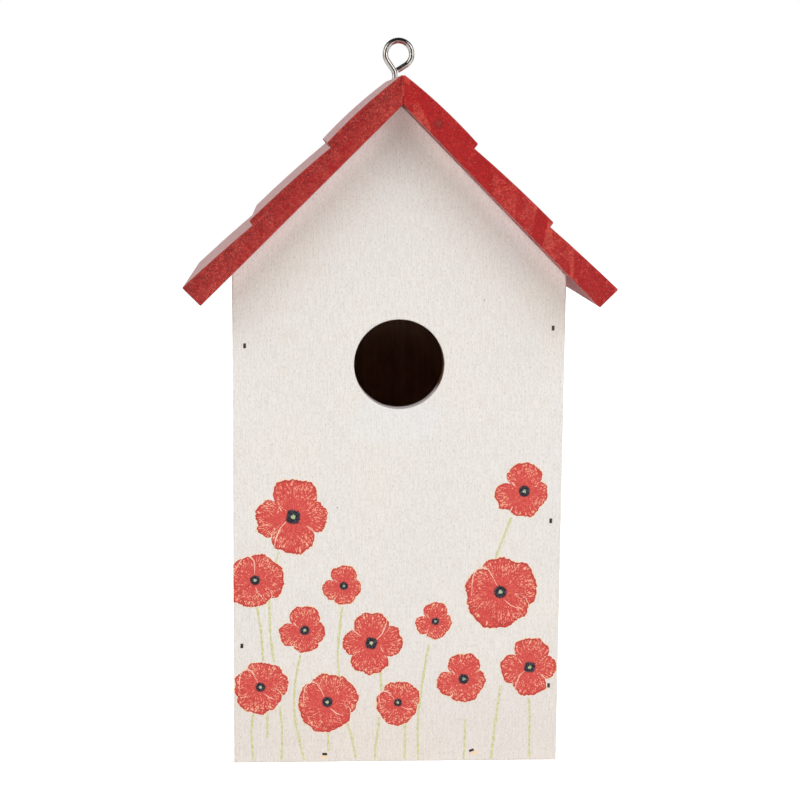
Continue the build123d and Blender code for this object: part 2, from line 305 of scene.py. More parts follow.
def makeRoofStain(name, values, side):
    onRight = side == "right"
    own = values[side]
    material, tree, shader = newMaterial(name, **{"Specular IOR Level": 0.5, "Sheen Weight": 0.05,
                                                  "Sheen Roughness": 0.45})
    x, y, z = split(tree, objectPlace(tree))[:3]
    across = calc(tree, "ABSOLUTE", x)
    below = calc(tree, "SUBTRACT", peakZ, z)
    along = calc(tree, "MULTIPLY", calc(tree, "ADD", across, below), math.sqrt(0.5))   # down the slope
    out = calc(tree, "MULTIPLY", calc(tree, "SUBTRACT", across, below), math.sqrt(0.5))  # up from the underside

    def board(alongScale, yScale, outScale, shift=0.0):
        return join(tree, calc(tree, "MULTIPLY_ADD", along, alongScale, own["start"] + shift),
                    calc(tree, "MULTIPLY", y, yScale), calc(tree, "MULTIPLY", out, outScale))

    cloud = noise(tree, board(0.22, 0.03, 0.26), 1.0, 3, 0.6, 0.6)
    blotch = noise(tree, board(0.75, 0.06, 0.75, 30), 1.0, 3, 0.65)
    grit = noise(tree, board(1.7, 0.14, 1.7, 50), 1.0, 3, 0.75)
    fine = noise(tree, board(2.9, 0.3, 2.9, 90), 1.0, 2, 0.6)
    flecked = noise(tree, board(1.5, 0.16, 1.9, 250), 1.0, 3, 0.75)
    slant = calc(tree, "ADD", calc(tree, "ADD", along, calc(tree, "MULTIPLY", out, 0.9)),
                 calc(tree, "MULTIPLY", blotch, 3.0))
    tilted = join(tree, calc(tree, "ADD", slant, own["start"]), calc(tree, "MULTIPLY", y, 0.12),
                  calc(tree, "MULTIPLY", out, 0.5))
    facet = addNode(tree, "ShaderNodeSeparateColor", {0: cells(tree, tilted, 0.10, output="Color")}).outputs[0]

    patchy = calc(tree, "MULTIPLY_ADD", facet, own["facets"], 0.5 - own["facets"] / 2)
    for layer, gain in ((cloud, 0.8), (blotch, 0.9), (grit, 1.3)):
        patchy = calc(tree, "MULTIPLY_ADD", calc(tree, "SUBTRACT", layer, 0.5), gain, patchy)
    colour = mixColour(tree, fade(tree, patchy, *own["baseFrom"]), values["deep"], own["base"])
    colour = mixColour(tree, fade(tree, patchy, *own["fadedFrom"], 0.0, 0.95), colour, values["faded"])

    grain = calc(tree, "MULTIPLY_ADD", grit, 0.45, calc(tree, "MULTIPLY", fine, 0.55))
    shade = fade(tree, grain, 0.41, 0.60, own["grainLow"], 1.18)
    normal = split(tree, addNode(tree, "ShaderNodeNewGeometry").outputs["True Normal"])
    longSide = fade(tree, calc(tree, "ABSOLUTE", normal[1]), 0.6, 0.4)
    lines = noise(tree, board(1.3, 0.012, 0.6, 210), 1.0, 4, 0.7)
    lines = calc(tree, "MULTIPLY", spreadOut(tree, lines, 2.4), longSide)
    shade = calc(tree, "MULTIPLY", shade, fade(tree, lines, 0.0, 1.0, 1.1, 0.86))
    colour = mixColour(tree, 1.0, colour, join(tree, shade, shade, shade), "MULTIPLY")

    ringPlace = join(tree, calc(tree, "ADD", along, calc(tree, "MULTIPLY", out, 1.9)), 0.0, own["start"])
    rings = noise(tree, ringPlace, 0.33, 2, 0.5)
    ringLine = calc(tree, "MULTIPLY", fade(tree, rings, 0.58, 0.68), fade(tree, grit, 0.42, 0.58))
    colour = mixColour(tree, calc(tree, "MULTIPLY", ringLine, own["ringLines"]), colour, values["dark"])

    if onRight:
        specks = calc(tree, "MULTIPLY", fade(tree, flecked, 0.56, 0.62), fade(tree, along, 62.0, 88.0, 0.25, 1.0))
    else:   # the left board's end grain is open, most of all along its upper edge
        specks = calc(tree, "MULTIPLY", fade(tree, flecked, 0.50, 0.56), fade(tree, out, 1.5, 7.5, 0.25, 1.0))
    colour = mixColour(tree, calc(tree, "MULTIPLY", specks, 0.85), colour, values["dark"])
    glints = fade(tree, noise(tree, board(2.2, 0.3, 2.2, 170), 1.0, 1, 0.4), 0.72, 0.80, 0.0, 0.45)
    colour = mixColour(tree, glints, colour, values["pale"])

    if onRight:
        squares = [calc(tree, "POWER", calc(tree, "SUBTRACT", place, middle), 2.0)
                   for place, middle in zip((along, out), values["knotAt"])]
        near = calc(tree, "SQRT", calc(tree, "ADD", *squares))
        near = calc(tree, "ADD", near, calc(tree, "MULTIPLY", spreadOut(tree, grit, 2.0), 0.9))
        halo = calc(tree, "MULTIPLY", fade(tree, near, 2.9, 1.7), 0.4)
        colour = mixColour(tree, halo, colour, values["dark"])
        colour = mixColour(tree, fade(tree, near, 1.5, 1.0, 0.0, 0.65), colour, values["knot"])
        # the left board's paler stain laps over the ridge
        lap = calc(tree, "ADD", x, calc(tree, "MULTIPLY", spreadOut(tree, grit, 1.5), 0.5))
        high = fade(tree, calc(tree, "MULTIPLY_ADD", x, 0.6, z), peakZ + 8.1, peakZ + 8.6)
        lap = calc(tree, "MULTIPLY", fade(tree, lap, *values["lapTo"]), high)
        colour = mixColour(tree, calc(tree, "MULTIPLY", lap, 0.8), colour, values["lap"])

    # upward faces turn greyer: dust, and painted sheen for their low-angle reflection
    onTop = fade(tree, normal[2], 0.3, 0.6)
    dustAndSheenShare = calc(tree, "MULTIPLY", onTop, fade(tree, cloud, 0.3, 0.7, 0.62, 0.38))
    colour = mixColour(tree, dustAndSheenShare, colour, values["dustAndSheen"])

    # outer edges lighter: worn paint, and a painted highlight
    edges = edgeMask(tree, 0.45)
    colour = mixColour(tree, calc(tree, "MULTIPLY", edges, 0.4), colour, values["edge"])
    feed(tree, shader.inputs["Base Color"], colour)
    polish = calc(tree, "MULTIPLY", onTop, -0.12)
    feed(tree, shader.inputs["Roughness"], calc(tree, "ADD", fade(tree, grit, 0.3, 0.7, 0.38, 0.56), polish))
    height = calc(tree, "ADD", calc(tree, "MULTIPLY", grit, 0.7), calc(tree, "MULTIPLY", fine, 0.3))
    addBump(tree, shader, height, 0.14, 0.6)
    return material


stains = {side: makeRoofStain("redStain_" + side, roofStain, side) for side in ("right", "left")}
for side, stain in stains.items():
    wear(side + "_roof_board", stain)

# stained filler in the open edges of the mitre, left out near its lower end
ridgeFill = {"half": 0.42, "deep": 0.34, "proud": 0.02, "low": 2.6, "high": 10.1, "steps": 24, "seed": 4}


def makeRidgeFill(values, material):
    draw = random.Random(values["seed"])
    build = bmesh.new()
    for side in (-1, 1):
        rows = []
        for step in range(values["steps"] + 1):
            z = peakZ + values["low"] + (values["high"] - values["low"]) * step / values["steps"]
            thin = min(1.0, step / 3, (values["steps"] - step) / 2 + 0.25)
            half = max(0.05, values["half"] * thin * draw.uniform(0.9, 1.05))
            face = -roofFrontY + values["proud"] - (1 - thin) * 0.2
            swell = draw.uniform(0.0, 0.03)
            profile = [(-half, face - 0.05), (0, face + swell), (half, face - 0.05),
                       (0, -roofFrontY - values["deep"])]
            rows.append([build.verts.new((x * mm, side * y * mm, z * mm)) for x, y in profile])
        for first, second in zip(rows, rows[1:]):
            for k in range(4):
                build.faces.new((first[k], first[(k + 1) % 4], second[(k + 1) % 4], second[k]))
        build.faces.new(rows[0])
        build.faces.new(rows[-1])
    bmesh.ops.recalc_face_normals(build, faces=build.faces[:])
    mesh = bpy.data.meshes.new("ridge_fill")
    build.to_mesh(mesh)
    build.free()
    mesh.materials.append(material)
    obj = bpy.data.objects.new("ridge_fill", mesh)
    scene.collection.objects.link(obj)
    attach(obj, "root")


makeRidgeFill(ridgeFill, stains["left"])
print("roof stained")


# metal: a bright plated eye, plated screws and washers, dull brads whose dark steel is partly painted shade of
# their sunk heads

plating = {"bright": paint(218, 213, 208), "dim": paint(192, 185, 179), "brad": paint(92, 80, 70),
           "rust": paint(58, 40, 30)}


def makePlating(name, bright, dim, roughLow, roughHigh, scratch):
    material, tree, shader = newMaterial(name, Metallic=1.0)
    clouds = noise(tree, objectPlace(tree, (0.8, 0.8, 0.8)), 1.0, 3, 0.6)
    lines = noise(tree, objectPlace(tree, (9, 9, 1.6)), 1.0, 2, 0.6)
    feed(tree, shader.inputs["Base Color"], mixColour(tree, fade(tree, clouds, 0.35, 0.7), bright, dim))
    feed(tree, shader.inputs["Roughness"], fade(tree, lines, 0.3, 0.7, roughLow, roughHigh))
    addBump(tree, shader, lines, scratch, 0.5)
    return material


eyePlating = makePlating("brightPlatedWire", plating["bright"], plating["dim"], 0.14, 0.26, 0.01)
screwPlating = makePlating("platedScrew", plating["bright"], plating["dim"], 0.18, 0.34, 0.02)
wear("screw_eye", eyePlating)
for name in ("door_pivot_screw", "door_lock_screw", "pivot_washer", "lock_washer"):
    wear(name, screwPlating)

material, tree, shader = newMaterial("dullNail", Metallic=0.7)
rustMap = noise(tree, objectPlace(tree, (3, 3, 3)), 1.0, 3, 0.65)
# the brads' dark steel: rust, and painted shade for their heads sunk in the wall
feed(tree, shader.inputs["Base Color"], mixColour(tree, fade(tree, rustMap, 0.38, 0.62), plating["brad"],
                                                  plating["rust"]))
feed(tree, shader.inputs["Roughness"], fade(tree, rustMap, 0.3, 0.7, 0.45, 0.75))
addBump(tree, shader, rustMap, 0.05, 0.5)
for name in nodes:
    if name.endswith("_brads"):
        wear(name, material)
print("metal plated")


# poppies: a printed row on the front wall, each one a thin film of overlapping petals

# a petal is (direction in degrees, reach, half its spread in degrees)
poppyShapes = {
    "cross": {
        "petals": [(185, 14.2, 52), (-1, 12.8, 46), (85, 14.6, 62), (-90, 14.2, 60)],
        "lines": [[(-2.4, -1.6), (-4.9, -4.2), (-6.6, -8.4), (-7.2, -11.6)],
                  [(5.2, -3.4), (7.2, -5.2), (8.8, -6.4)],
                  [(-4.2, 2.0), (-5.6, 4.2)]],
        "eye": 2.75, "square": 0.16, "dot": paint(132, 168, 84),
    },
    "cup": {
        "petals": [(24, 14.4, 68), (92, 13.4, 52), (-112, 14.6, 74), (-62, 13.2, 60), (172, 13.4, 64)],
        "lines": [[(-1.4, 2.6), (-3.0, 5.8), (-4.8, 8.8), (-6.6, 9.8), (-8.4, 9.6), (-10.4, 7.0), (-10.9, 3.0),
                   (-11.0, -1.5)],
                  [(1.6, -3.2), (4.2, -5.4), (7.4, -6.6)]],
        "eye": 2.5, "square": 0.0, "dot": paint(160, 176, 146),
    },
    "trefoil": {
        "petals": [(-14, 9.0, 58), (-88, 10.0, 62), (197, 11.2, 48), (90, 10.8, 68)],
        "lines": [[(-3.6, 2.0), (-5.0, 3.6)],
                  [(-4.4, -6.0), (-5.4, -8.2)]],
        "eye": 2.15, "square": 0.05, "dot": paint(104, 146, 128),
    },
}
poppies = [   # shape, x and z of the eye, size, turn in degrees
    ("cross", -39.7, 96.8, 1.00, 0), ("cup", -54.2, 72.3, 0.77, -25), ("trefoil", -20.4, 69.9, 0.73, 0),
    ("trefoil", -35.3, 52.6, 0.87, 0), ("cross", -9.8, 47.4, 0.84, 180), ("cup", -52.2, 30.2, 0.74, 0),
    ("cup", -26.6, 24.1, 0.83, 0), ("cup", 0.6, 23.7, 0.62, 15), ("trefoil", 14.8, 55.8, 0.69, 0),
    ("trefoil", 26.0, 32.9, 0.93, 0), ("cup", 39.6, 67.3, 1.00, 0), ("trefoil", 48.1, 106.6, 1.00, 0),
    ("cross", 51.5, 37.4, 0.79, 0),
]
poppyPrint = {
    "steps": 44, "rings": 7, "halo": 0.42, "ruffle": 0.022, "jag": 0.022,
    "layer": 0.012, "lift": 2.5, "top": 8,     # one film, and in films where the petals start and end
    "spikes": 48, "dotSides": 12, "dotSize": 0.31,
    "red": paint(218, 84, 76), "deep": paint(200, 58, 58), "light": paint(236, 122, 104),
    "cream": paint(252, 218, 182), "rim": paint(186, 62, 56), "haloWarm": paint(248, 214, 160),
    "haloPale": paint(240, 232, 222), "eye": paint(32, 26, 38), "eyeFleck": paint(112, 112, 122),
    "line": paint(248, 226, 208),
}


def makePetalPaint(values):
    material, tree, shader = newMaterial("poppyRed", **{"Specular IOR Level": 0.3})
    uv = addNode(tree, "ShaderNodeUVMap", uv_map="petal").outputs[0]
    u, v = split(tree, uv)[:2]
    streakPlace = join(tree, calc(tree, "MULTIPLY", u, 34.0), calc(tree, "MULTIPLY", v, 5.0), 0.0)
    streaks = noise(tree, streakPlace, 1.0, 2, 0.6)
    crayon = noise(tree, objectPlace(tree, (1.9, 1.9, 1.9)), 1.0, 3, 0.75)
    colour = mixColour(tree, fade(tree, crayon, 0.38, 0.58), values["deep"], values["red"])
    colour = mixColour(tree, fade(tree, streaks, 0.52, 0.70, 0.0, 0.8), colour, values["light"])
    colour = mixColour(tree, fade(tree, crayon, 0.56, 0.70, 0.0, 0.9), colour, values["light"])
    outer = calc(tree, "MULTIPLY", fade(tree, v, 0.45, 0.9), fade(tree, streaks, 0.56, 0.68))
    colour = mixColour(tree, calc(tree, "MULTIPLY", outer, 0.8), colour, values["cream"])
    rimNoise = calc(tree, "MULTIPLY", calc(tree, "SUBTRACT", crayon, 0.5), 0.16)
    rim = calc(tree, "MULTIPLY", fade(tree, calc(tree, "ADD", v, rimNoise), 0.92, 0.97), 0.85)
    colour = mixColour(tree, rim, colour, values["rim"])
    feed(tree, shader.inputs["Base Color"], colour)
    feed(tree, shader.inputs["Roughness"], fade(tree, crayon, 0.3, 0.7, 0.48, 0.62))
    addBump(tree, shader, crayon, 0.03, 0.5)
    return material


def makePrint(name, first, second, scale, low=0.4, high=0.6):
    material, tree, shader = newMaterial(name, **{"Specular IOR Level": 0.3})
    blot = noise(tree, objectPlace(tree, (scale, scale, scale)), 1.0, 2, 0.6)
    feed(tree, shader.inputs["Base Color"], mixColour(tree, fade(tree, blot, low, high), first, second))
    feed(tree, shader.inputs["Roughness"], fade(tree, blot, 0.3, 0.7, 0.5, 0.65))
    addBump(tree, shader, blot, 0.02, 0.5)
    return material


petalPaint = makePetalPaint(poppyPrint)
haloPaint = makePrint("poppyHalo", poppyPrint["haloPale"], poppyPrint["haloWarm"], 1.1)
linePaint = makePrint("poppyLine", poppyPrint["line"], poppyPrint["light"], 1.6, 0.5, 0.72)
eyePaint = makePrint("poppyEye", poppyPrint["eye"], poppyPrint["eyeFleck"], 2.4, 0.52, 0.70)
dotPaints = {kind: makePrint("poppyDot_" + kind, shape["dot"], paint(200, 206, 172), 2.0)
             for kind, shape in poppyShapes.items()}


# a thin closed sheet on the wall; grid[i][j] is (x, z, u, v), and row 0 may be one point repeated
def addFilm(build, grid, depth, slot, weights=None):
    uvLayer = build.loops.layers.uv["petal"]
    fleckLayer = build.verts.layers.float["fleck"]
    outLayer = build.verts.layers.float_vector["outward"]
    sheets = []
    for y in (frontY - depth, frontY + 0.02):
        sheets.append([[build.verts.new((max(x, -edgeX + 0.04) * mm, y * mm, z * mm)) for x, z, u, v in row]
                       for row in grid])
    uvOf = {}
    for sheet in sheets:
        for row, source in zip(sheet, grid):
            for vert, (x, z, u, v) in zip(row, source):
                uvOf[vert] = (u, v)
    if weights:
        for row, rowWeights in zip(sheets[0], weights):
            for vert, (weight, outward) in zip(row, rowWeights):
                vert[fleckLayer] = weight
                vert[outLayer] = outward

    def face(*corners):
        made = build.faces.new(corners)
        made.material_index = slot
        for loop in made.loops:
            loop[uvLayer].uv = uvOf[loop.vert]

    front, back = sheets
    rows, columns = len(grid), len(grid[0])
    for i in range(rows - 1):
        for j in range(columns - 1):
            face(front[i][j], front[i][j + 1], front[i + 1][j + 1], front[i + 1][j])
            face(back[i + 1][j], back[i + 1][j + 1], back[i][j + 1], back[i][j])
    for j in range(columns - 1):
        face(front[0][j + 1], front[0][j], back[0][j], back[0][j + 1])
        face(front[-1][j], front[-1][j + 1], back[-1][j + 1], back[-1][j])
    for i in range(rows - 1):
        face(front[i][0], front[i + 1][0], back[i + 1][0], back[i][0])
        face(front[i + 1][-1], front[i][-1], back[i][-1], back[i + 1][-1])


def petalEdge(reach, spread, draw, values):  # the petal's outline as (angle from its middle, radius)
    waves = [(draw.uniform(0, 6.28), draw.choice((3, 4, 5)), values["ruffle"]),
             (draw.uniform(0, 6.28), draw.choice((7, 8, 9)), values["ruffle"] * 0.7)]
    edge = []
    for step in range(values["steps"] + 1):
        t = step / values["steps"] * 2 - 1
        radius = reach * (1 - abs(t) ** 3.2) ** 0.42
        for phase, count, size in waves:
            radius *= 1 + size * math.sin(phase + t * count * 2)
        radius *= 1 + draw.uniform(-1, 1) * values["jag"]
        edge.append((math.radians(t * spread), radius))
    return edge


def makePoppy(name, kind, atX, atZ, size, turn, seed, values):
    shape = poppyShapes[kind]
    draw = random.Random(seed)
    build = bmesh.new()
    build.loops.layers.uv.new("petal")
    build.verts.layers.float.new("fleck")
    build.verts.layers.float_vector.new("outward")
    turned = math.radians(turn)

    def spot(x, z):
        return (atX + size * (x * math.cos(turned) - z * math.sin(turned)),
                atZ + size * (x * math.sin(turned) + z * math.cos(turned)))

    edges = [petalEdge(reach, spread, draw, values) for direction, reach, spread in shape["petals"]]
    for grow, slot, lift in ((values["halo"], 1, 0.0), (0.0, 0, values["lift"])):
        for index, (direction, reach, spread) in enumerate(shape["petals"]):
            middle = math.radians(direction)
            grid, weights = [], []
            ragged = [draw.uniform(0.4, 1.0) for _ in edges[index]]
            for ring in range(values["rings"] + 1):
                v = ring / values["rings"]
                row, rowWeights = [], []
                for step, (angle, radius) in enumerate(edges[index]):
                    full = radius + grow * ragged[step] / size * (0.35 if radius < reach * 0.4 else 1.0)
                    x, z = full * v * math.cos(middle + angle), full * v * math.sin(middle + angle)
                    place = spot(x, z)
                    row.append((*place, index * 3.1 + step / values["steps"] + seed, v))
                    tuft = 0.5 + 0.5 * math.sin(angle * 5 + index * 2.1 + seed)
                    heavy = max(0.0, min(1.0, (v - 0.38) / 0.4)) * (0.2 + 0.8 * tuft)
                    away = middle + angle + turned
                    rowWeights.append((0.0 if grow or v > 0.97 else heavy, (math.cos(away), 0.0, math.sin(away))))
                grid.append(row)
                weights.append(rowWeights)
            addFilm(build, grid, values["layer"] * (1 + index + lift), slot, weights)

    top = values["layer"] * values["top"]
    for line in shape["lines"]:   # pale strokes where one petal overlaps the next
        points = []
        for first, second in zip(line, line[1:]):
            points += [Vector(first).lerp(Vector(second), k / 4) for k in range(4)]
        points.append(Vector(line[-1]))
        left, right = [], []
        for k, point in enumerate(points):
            ahead = points[min(k + 1, len(points) - 1)] - points[max(k - 1, 0)]
            across = Vector((-ahead.y, ahead.x)).normalized()
            half = (0.03 + 0.09 * math.sin(math.pi * k / (len(points) - 1)) + draw.uniform(0, 0.07)) / size ** 0.5
            left.append((*spot(*(point + across * half)), 0.0, k / len(points)))
            right.append((*spot(*(point - across * half)), 1.0, k / len(points)))
        addFilm(build, [left, right], top, 2)

    spikes = values["spikes"]
    outline = []
    for k in range(spikes + 1):
        angle = math.tau * (k % spikes) / spikes
        squared = 1 + shape["square"] * abs(math.sin(2 * angle + 0.4)) - shape["square"] / 2
        outline.append((angle, shape["eye"] * squared))
    spread = [1 + (draw.uniform(0.0, 0.22) if k % 2 else -draw.uniform(0.05, 0.2)) for k in range(spikes)]
    spread.append(spread[0])
    grid = []
    for v in (0.0, 0.35, 0.7, 1.0):
        grid.append([(*spot(radius * spread[k] * v * math.cos(angle), radius * spread[k] * v * math.sin(angle)),
                      angle, v) for k, (angle, radius) in enumerate(outline)])
    addFilm(build, grid, top + values["layer"] * 2, 3)

    grid = []
    sides = values["dotSides"]
    for v in (0.0, 0.5, 1.0):
        row = []
        for k in range(sides + 1):
            angle = math.tau * (k % sides) / sides
            lumpy = 1 + 0.14 * math.sin(angle * 3 + seed) + 0.08 * math.sin(angle * 5)
            radius = shape["eye"] * values["dotSize"] * lumpy * v
            row.append((*spot(radius * math.cos(angle), radius * math.sin(angle)), angle, v))
        grid.append(row)
    addFilm(build, grid, top + values["layer"] * 4, 4)

    bmesh.ops.remove_doubles(build, verts=build.verts[:], dist=1e-7)
    bmesh.ops.dissolve_degenerate(build, dist=1e-8, edges=build.edges[:])
    bmesh.ops.recalc_face_normals(build, faces=build.faces[:])
    mesh = bpy.data.meshes.new(name)
    build.to_mesh(mesh)
    build.free()
    obj = bpy.data.objects.new(name, mesh)
    scene.collection.objects.link(obj)
    for slotMaterial in (petalPaint, haloPaint, linePaint, eyePaint, dotPaints[kind]):
        mesh.materials.append(slotMaterial)
    return obj


poppyObjects = []
for index, (kind, atX, atZ, size, turn) in enumerate(poppies):
    poppyObjects.append(makePoppy(f"poppy_{index + 1:02d}", kind, atX, atZ, size, turn, index + 5, poppyPrint))
print("poppies drawn:", len(poppyObjects))


# what repeats on the print comes from Geometry Nodes

def newTree(name, inputs):
    tree = bpy.data.node_groups.new(name, "GeometryNodeTree")
    tree.interface.new_socket("Geometry", in_out="INPUT", socket_type="NodeSocketGeometry")
    for label, (kind, value) in inputs.items():
        socket = tree.interface.new_socket(label, in_out="INPUT", socket_type=kind)
        if value is not None:
            socket.default_value = value
    tree.interface.new_socket("Geometry", in_out="OUTPUT", socket_type="NodeSocketGeometry")
    return tree, addNode(tree, "NodeGroupInput").outputs, addNode(tree, "NodeGroupOutput").inputs


def growMesh(source, tree, values, name):  # the tree's result as a plain mesh object
    modifier = source.modifiers.new(tree.name, "NODES")
    modifier.node_group = tree
    for item in tree.interface.items_tree:
        if item.item_type == "SOCKET" and item.in_out == "INPUT" and item.name in values:
            modifier[item.identifier] = values[item.name]
    graph = bpy.context.evaluated_depsgraph_get()
    mesh = bpy.data.meshes.new_from_object(source.evaluated_get(graph))
    source.modifiers.remove(modifier)
    mesh.name = name
    obj = bpy.data.objects.new(name, mesh)
    scene.collection.objects.link(obj)
    return obj


fleckStrokes = {"Density": 1.7, "Length": 0.8, "Width": 0.22, "Thickness": 0.03, "Seed": 11}   # per mm2, mm
fleckSides = 7


def makeFleckTree(values):
    tree, given, result = newTree("fleckStrokes", {
        **{label: ("NodeSocketFloat", values[label]) for label in ("Density", "Length", "Width", "Thickness")},
        "Seed": ("NodeSocketInt", values["Seed"]), "Material": ("NodeSocketMaterial", None)})
    weight = addNode(tree, "GeometryNodeInputNamedAttribute", {"Name": "fleck"}, data_type="FLOAT").outputs[0]
    density = calc(tree, "MULTIPLY", calc(tree, "MULTIPLY", given["Density"], 1 / mm ** 2), weight)
    facing = split(tree, addNode(tree, "GeometryNodeInputNormal").outputs[0])[1]
    front = addNode(tree, "FunctionNodeCompare", {0: facing, 1: -0.9}, data_type="FLOAT",
                    operation="LESS_THAN").outputs[0]
    points = addNode(tree, "GeometryNodeDistributePointsOnFaces", {
        "Mesh": given["Geometry"], "Selection": front, "Density": density, "Seed": given["Seed"]},
        distribute_method="RANDOM")
    outward = addNode(tree, "GeometryNodeInputNamedAttribute", {"Name": "outward"},
                      data_type="FLOAT_VECTOR").outputs[0]
    waver = addNode(tree, "FunctionNodeRandomValue", {"Min": (-0.35, 0, -0.35), "Max": (0.35, 0, 0.35),
                                                      "Seed": given["Seed"]}, data_type="FLOAT_VECTOR").outputs[0]
    outward = addNode(tree, "ShaderNodeVectorMath", {0: outward, 1: waver}, operation="ADD").outputs[0]
    upright = addNode(tree, "FunctionNodeAlignRotationToVector", {"Vector": (0, -1, 0)}, axis="Z").outputs[0]
    turned = addNode(tree, "FunctionNodeAlignRotationToVector", {"Rotation": upright, "Vector": outward},
                     axis="X", pivot_axis="Z").outputs[0]
    longer = addNode(tree, "FunctionNodeRandomValue", {2: 0.35, 3: 1.1, "Seed": 3}, data_type="FLOAT").outputs[1]
    wider = addNode(tree, "FunctionNodeRandomValue", {2: 0.6, 3: 1.2, "Seed": 4}, data_type="FLOAT").outputs[1]
    length = calc(tree, "MULTIPLY", calc(tree, "MULTIPLY", given["Length"], mm / 2), longer)
    width = calc(tree, "MULTIPLY", calc(tree, "MULTIPLY", given["Width"], mm / 2), wider)
    height = calc(tree, "MULTIPLY", given["Thickness"], mm)
    stroke = addNode(tree, "GeometryNodeMeshCylinder", {"Vertices": fleckSides, "Radius": 1.0,
                                                        "Depth": 1.0}).outputs["Mesh"]
    strokes = addNode(tree, "GeometryNodeInstanceOnPoints", {
        "Points": points.outputs["Points"], "Instance": stroke, "Rotation": turned,
        "Scale": join(tree, length, width, height)}).outputs[0]
    real = addNode(tree, "GeometryNodeRealizeInstances", {0: strokes}).outputs[0]
    coloured = addNode(tree, "GeometryNodeSetMaterial", {"Geometry": real, "Material": given["Material"]})
    feed(tree, result["Geometry"], coloured.outputs[0])
    return tree


creamPaint = makePrint("poppyFlecks", poppyPrint["cream"], paint(244, 160, 128), 1.3, 0.42, 0.62)
fleckTree = makeFleckTree(fleckStrokes)
flecks = []
for index, poppy in enumerate(poppyObjects):
    values = dict(fleckStrokes, Material=creamPaint)
    values["Seed"] += index
    flecks.append(growMesh(poppy, fleckTree, values, f"poppy_flecks_{index + 1:02d}"))
print("flecks scattered:", sum(len(o.data.polygons) for o in flecks) // (fleckSides + 2))


stems = {
    "Width": 0.98, "Waver": 0.22, "Thickness": 0.03, "Seed": 3,
    "step": 0.7, "waverScale": 260.0, "swellScale": 900.0,
    "green": paint(222, 218, 172), "spot": paint(198, 198, 138), "faint": paint(234, 228, 208),
    "paths": [   # x and z on the wall
        [(-45.1, 83.2), (-46.6, 79.0)],
        [(-48.8, 64.5), (-48.4, 51.2), (-47.0, 40.1)],
        [(-44.9, 22.7), (-44.0, 13.5), (-44.2, 0.9)],
        [(-53.6, 61.8), (-52.1, 53.2), (-51.2, 40.6)],
        [(-49.7, 21.5), (-49.5, 9.9)],
        [(-55.0, 20.0), (-55.7, 12.4), (-55.0, 1.0)],
        [(-36.9, 42.8), (-39.1, 30.2), (-39.1, 19.0), (-37.4, 9.8), (-35.3, 0.9)],
        [(-21.0, 61.6), (-22.5, 46.3), (-22.2, 34.0)],
        [(-18.8, 15.6), (-17.0, 9.6), (-15.4, 1.6)],
        [(-26.3, 12.5), (-26.0, 4.3)],
        [(-6.1, 35.9), (-5.8, 28.3)],
        [(-6.4, 17.9), (-7.9, 5.9), (-8.0, 0.9)],
        [(3.4, 15.9), (3.6, 0.9)],
        [(12.4, 46.9), (10.7, 36.9), (9.5, 27.0), (8.5, 16.6), (8.7, 0.9)],
        [(26.8, 16.8), (26.7, 9.2), (26.4, 0.9)],
        [(40.4, 30.3), (38.6, 16.3), (37.1, 0.9)],
        [(51.2, 25.1), (51.8, 18.2), (51.9, 1.3)],
        [(43.4, 96.6), (40.5, 88.8), (37.6, 80.6)],
    ],
}


